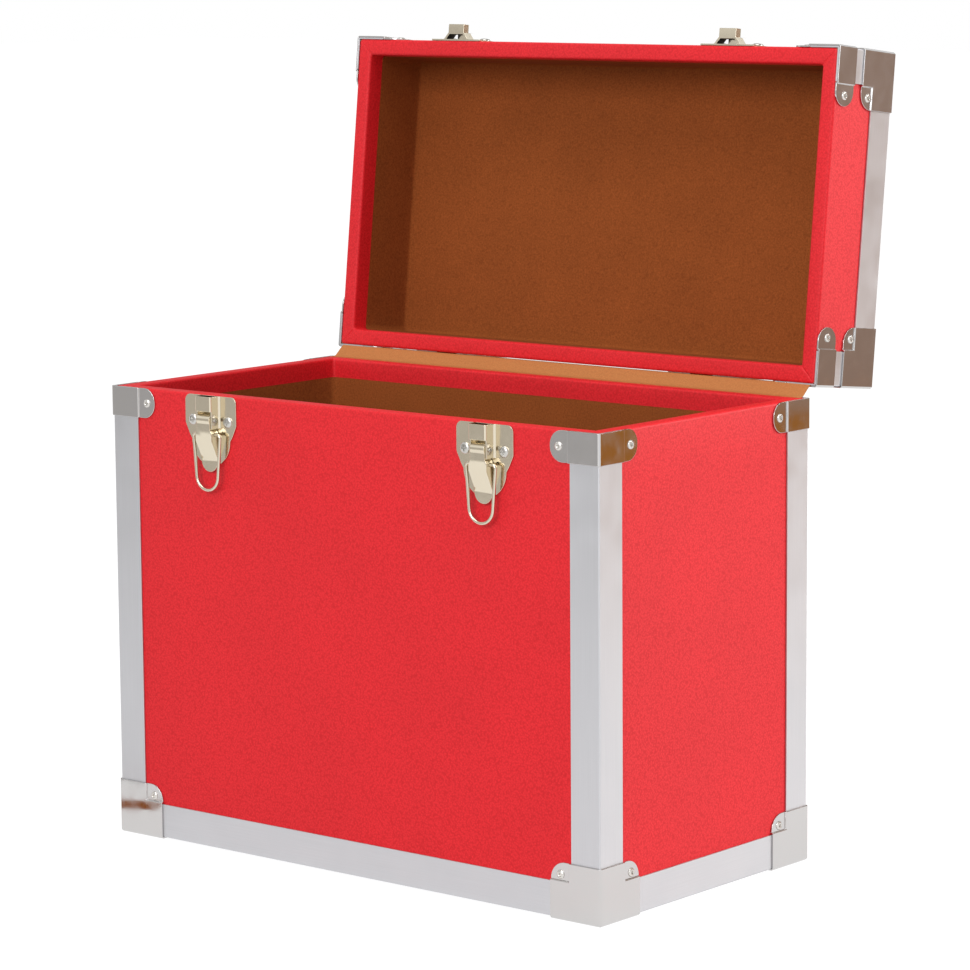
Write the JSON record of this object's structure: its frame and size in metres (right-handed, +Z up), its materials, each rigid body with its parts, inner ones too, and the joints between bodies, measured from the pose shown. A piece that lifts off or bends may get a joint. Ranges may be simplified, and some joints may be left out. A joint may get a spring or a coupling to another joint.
{
  "type": "record carrying case",
  "caption": "Carrying case for long-playing records: a covered board box with a hinged lid, metal corners and edging, draw latches and a swinging handle on the lid.",
  "frame": {"origin": "on the floor, under the middle of the base box", "axes": "+X to the right as seen from the latch side, +Y to the back where the hinges are, +Z up; stored with the lid open at its stops"},
  "size_m": [0.375, 0.2964, 0.4883],
  "materials": {
    "board": "plain fibreboard",
    "leatherette": "red leatherette with a fine grain",
    "lining": "brown paper-backed cloth lining",
    "aluminium_edging": "satin",
    "nickel_plated_steel": "nickel plated, polished",
    "rivet_steel": "nickel plated",
    "fastener_steel": "zinc plated",
    "hinge_steel": "nickel plated",
    "handle_plastic": "black moulded plastic",
    "hinge_cloth": "brown bookcloth"
  },
  "bodies": {
    "base": {"base_back_left_cap": "nickel_plated_steel", "base_back_left_edging": "aluminium_edging", "base_back_panel": "board", "base_back_right_cap": "nickel_plated_steel", "base_back_right_edging": "aluminium_edging", "base_bottom_back_edging": "aluminium_edging", "base_bottom_front_edging": "aluminium_edging", "base_bottom_left_edging": "aluminium_edging", "base_bottom_panel": "board", "base_bottom_right_edging": "aluminium_edging", "base_corner_rivets": "rivet_steel", "base_covering": "leatherette", "base_front_left_cap": "nickel_plated_steel", "base_front_left_edging": "aluminium_edging", "base_front_panel": "board", "base_front_right_cap": "nickel_plated_steel", "base_front_right_edging": "aluminium_edging", "base_left_panel": "board", "base_lining": "lining", "base_right_panel": "board", "base_rim_brackets": "nickel_plated_steel", "hinge_cloth": "hinge_cloth", "hinge_lower_leaves": "hinge_steel", "hinge_lower_rivets": "rivet_steel", "hinge_pins": "fastener_steel", "latch_lever_pins": "fastener_steel", "latch_plate_left": "nickel_plated_steel", "latch_plate_right": "nickel_plated_steel", "latch_plate_screws": "fastener_steel"},
    "lid": {"handle_brackets": "nickel_plated_steel", "handle_pins": "fastener_steel", "handle_screws": "fastener_steel", "hinge_upper_leaves": "hinge_steel", "hinge_upper_rivets": "rivet_steel", "keeper_left": "nickel_plated_steel", "keeper_right": "nickel_plated_steel", "keeper_screws": "fastener_steel", "lid_back_left_cap": "nickel_plated_steel", "lid_back_panel": "board", "lid_back_right_cap": "nickel_plated_steel", "lid_corner_edging": "aluminium_edging", "lid_corner_rivets": "rivet_steel", "lid_covering": "leatherette", "lid_front_left_cap": "nickel_plated_steel", "lid_front_panel": "board", "lid_front_right_cap": "nickel_plated_steel", "lid_left_panel": "board", "lid_lining": "lining", "lid_right_panel": "board", "lid_rim_brackets": "nickel_plated_steel", "lid_top_back_edging": "aluminium_edging", "lid_top_front_edging": "aluminium_edging", "lid_top_left_edging": "aluminium_edging", "lid_top_panel": "board", "lid_top_right_edging": "aluminium_edging"},
    "left_lever": {"latch_lever_left": "nickel_plated_steel"},
    "right_lever": {"latch_lever_right": "nickel_plated_steel"},
    "left_bail": {"latch_bail_left": "nickel_plated_steel"},
    "right_bail": {"latch_bail_right": "nickel_plated_steel"},
    "handle": {"handle_grip": "handle_plastic"}
  },
  "joints": [
    {"name": "lid_hinge", "type": "hinge", "parent": "base", "child": "lid", "pos_m": [0, 0.105, 0.2764], "axis": [-1, 0, 0], "range_deg": [-96.5, 0]},
    {"name": "left_lever_pivot", "type": "hinge", "parent": "base", "child": "left_lever", "pos_m": [-0.1055, -0.10265, 0.2615], "axis": [-1, 0, 0], "range_deg": [0, 110]},
    {"name": "right_lever_pivot", "type": "hinge", "parent": "base", "child": "right_lever", "pos_m": [0.1055, -0.10265, 0.2615], "axis": [-1, 0, 0], "range_deg": [0, 110]},
    {"name": "left_bail_pivot", "type": "hinge", "parent": "left_lever", "child": "left_bail", "pos_m": [-0.1055, -0.1024, 0.253], "axis": [1, 0, 0], "range_deg": [-176.5, 0]},
    {"name": "right_bail_pivot", "type": "hinge", "parent": "right_lever", "child": "right_bail", "pos_m": [0.1055, -0.1024, 0.253], "axis": [1, 0, 0], "range_deg": [-176.5, 0]},
    {"name": "handle_pivot", "type": "hinge", "parent": "lid", "child": "handle", "pos_m": [0, 0.18286, 0.37321], "axis": [1, 0, 0], "range_deg": [-6.5, 173.5]}
  ]
}
